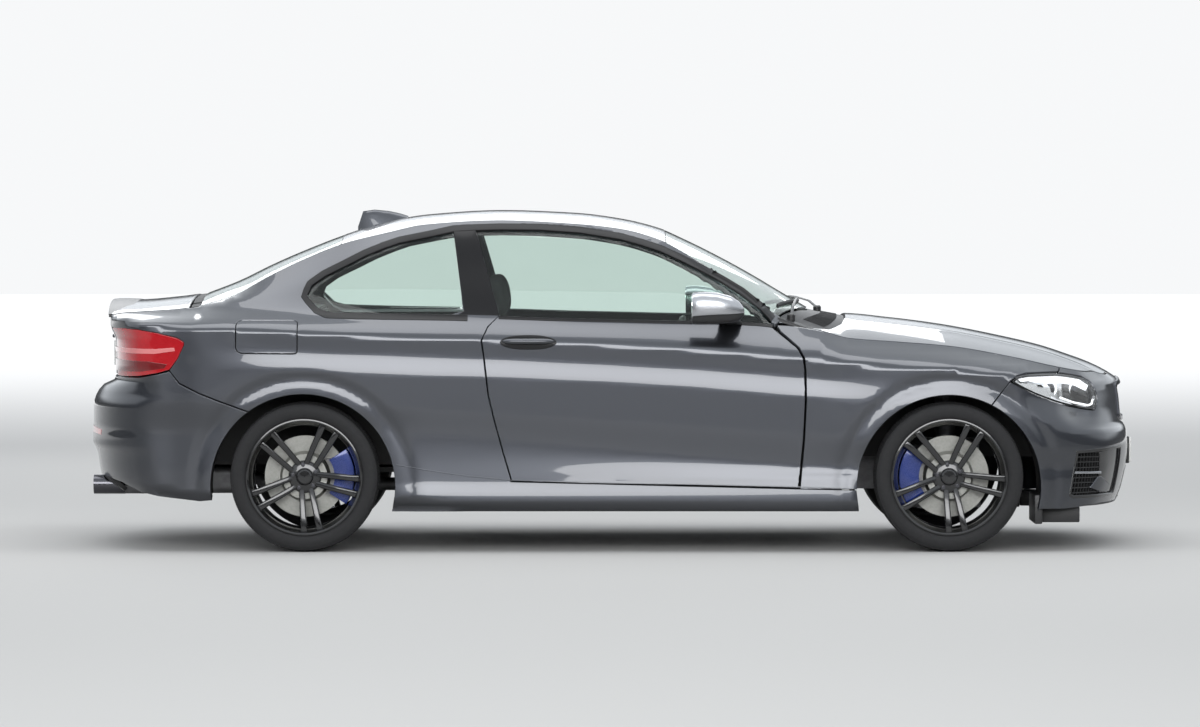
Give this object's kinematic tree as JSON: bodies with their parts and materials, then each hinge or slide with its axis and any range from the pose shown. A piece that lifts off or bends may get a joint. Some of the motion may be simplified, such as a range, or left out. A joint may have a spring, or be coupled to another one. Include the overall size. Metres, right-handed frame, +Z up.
{
  "type": "coupe car",
  "caption": "Two-door coupe car with hinged doors, hood, trunk lid and fuel flap, steered front wheels and a hollow cabin.",
  "frame": {"origin": "on the ground, midway along the car's length, on its centre plane", "axes": "+X towards the nose, +Y towards the car's left side, +Z up"},
  "size_m": [4.45, 1.914, 1.425],
  "materials": {
    "body_paint": "metallic dark grey, clear coated",
    "black_trim": "grained black",
    "structure": "primed and painted sheet",
    "clear_glass": "clear with a faint green tint",
    "lamp_clear": "clear lens over a dark housing",
    "lamp_red": "red lens",
    "engine_metal": "as cast",
    "pipe_steel": "dull",
    "axle_steel": "satin black",
    "seat_leather": "dark, fine grain",
    "cabin_plastic": "soft grained black",
    "mirror_cap": "silver-grey caps over black shells",
    "wheel_black": "gloss black",
    "tyre_rubber": "black rubber",
    "disc_steel": "turned"
  },
  "bodies": {
    "body": {"floor_pan": "structure", "side_frame_left": "body_paint", "side_frame_right": "body_paint", "roof_panel": "body_paint", "cowl_panel": "black_trim", "fender_left": "body_paint", "fender_right": "body_paint", "front_bumper": "body_paint", "rear_bumper": "body_paint", "front_structure": "structure", "wheel_liners": "black_trim", "windscreen": "clear_glass", "rear_window": "clear_glass", "quarter_windows": "clear_glass", "headlamps": "lamp_clear", "tail_lamps": "lamp_red", "front_grilles": "black_trim", "rear_shelf": "black_trim", "engine": "engine_metal", "exhaust": "pipe_steel", "front_suspension": "axle_steel", "rear_suspension": "axle_steel", "front_seats": "seat_leather", "rear_seat": "seat_leather", "dashboard": "cabin_plastic"},
    "door_left": {"door_left": "body_paint", "door_glass_left": "clear_glass", "mirror_left": "mirror_cap"},
    "door_right": {"door_right": "body_paint", "door_glass_right": "clear_glass", "mirror_right": "mirror_cap"},
    "hood": {"hood": "body_paint"},
    "trunk_lid": {"trunk_lid": "body_paint", "lid_lamps": "lamp_red"},
    "fuel_flap": {"fuel_flap": "body_paint"},
    "steering_wheel": {"steering_wheel": "cabin_plastic"},
    "knuckle_left": {"knuckle_left": "engine_metal"},
    "knuckle_right": {"knuckle_right": "engine_metal"},
    "wheel_front_left": {"rim_front_left": "wheel_black", "tyre_front_left": "tyre_rubber", "brake_disc_front_left": "disc_steel"},
    "wheel_front_right": {"rim_front_right": "wheel_black", "tyre_front_right": "tyre_rubber", "brake_disc_front_right": "disc_steel"},
    "wheel_rear_left": {"rim_rear_left": "wheel_black", "tyre_rear_left": "tyre_rubber", "brake_disc_rear_left": "disc_steel"},
    "wheel_rear_right": {"rim_rear_right": "wheel_black", "tyre_rear_right": "tyre_rubber", "brake_disc_rear_right": "disc_steel"}
  },
  "joints": [
    {"name": "door_left_hinge", "type": "hinge", "parent": "body", "child": "door_left", "pos_m": [0.711, 0.836, 0.62], "axis": [0, 0, -1], "range_deg": [0, 60]},
    {"name": "door_right_hinge", "type": "hinge", "parent": "body", "child": "door_right", "pos_m": [0.711, -0.836, 0.62], "axis": [0, 0, 1], "range_deg": [0, 60]},
    {"name": "hood_hinge", "type": "hinge", "parent": "body", "child": "hood", "pos_m": [0.8, 0, 0.93], "axis": [0, -1, 0], "range_deg": [0, 45]},
    {"name": "trunk_lid_hinge", "type": "hinge", "parent": "body", "child": "trunk_lid", "pos_m": [-1.6, 0, 1.01], "axis": [0, 1, 0], "range_deg": [0, 60]},
    {"name": "fuel_flap_hinge", "type": "hinge", "parent": "body", "child": "fuel_flap", "pos_m": [-1.322, -0.868, 0.897], "axis": [0, 0, 1], "range_deg": [0, 85]},
    {"name": "steer_left", "type": "hinge", "parent": "body", "child": "knuckle_left", "pos_m": [1.41, 0.698, 0.312], "axis": [0, 0, 1], "range_deg": [-32, 32]},
    {"name": "steer_right", "type": "hinge", "parent": "body", "child": "knuckle_right", "pos_m": [1.41, -0.698, 0.312], "axis": [0, 0, 1], "range_deg": [-32, 32]},
    {"name": "steering_wheel_turn", "type": "hinge", "parent": "body", "child": "steering_wheel", "pos_m": [0.24, 0.365, 0.775], "axis": [-0.9135, 0, 0.4067], "range_deg": [-470, 470]},
    {"name": "wheel_front_left_spin", "type": "hinge", "parent": "knuckle_left", "child": "wheel_front_left", "pos_m": [1.41, 0.76, 0.312], "axis": [0, 1, 0], "continuous": true},
    {"name": "wheel_front_right_spin", "type": "hinge", "parent": "knuckle_right", "child": "wheel_front_right", "pos_m": [1.41, -0.76, 0.312], "axis": [0, 1, 0], "continuous": true},
    {"name": "wheel_rear_left_spin", "type": "hinge", "parent": "body", "child": "wheel_rear_left", "pos_m": [-1.28, 0.757, 0.312], "axis": [0, 1, 0], "continuous": true},
    {"name": "wheel_rear_right_spin", "type": "hinge", "parent": "body", "child": "wheel_rear_right", "pos_m": [-1.28, -0.757, 0.312], "axis": [0, 1, 0], "continuous": true}
  ],
  "couplings": [
    {"joint": "steer_right", "follows": "steer_left", "ratio": 1},
    {"joint": "steering_wheel_turn", "follows": "steer_left", "ratio": 14.5}
  ]
}
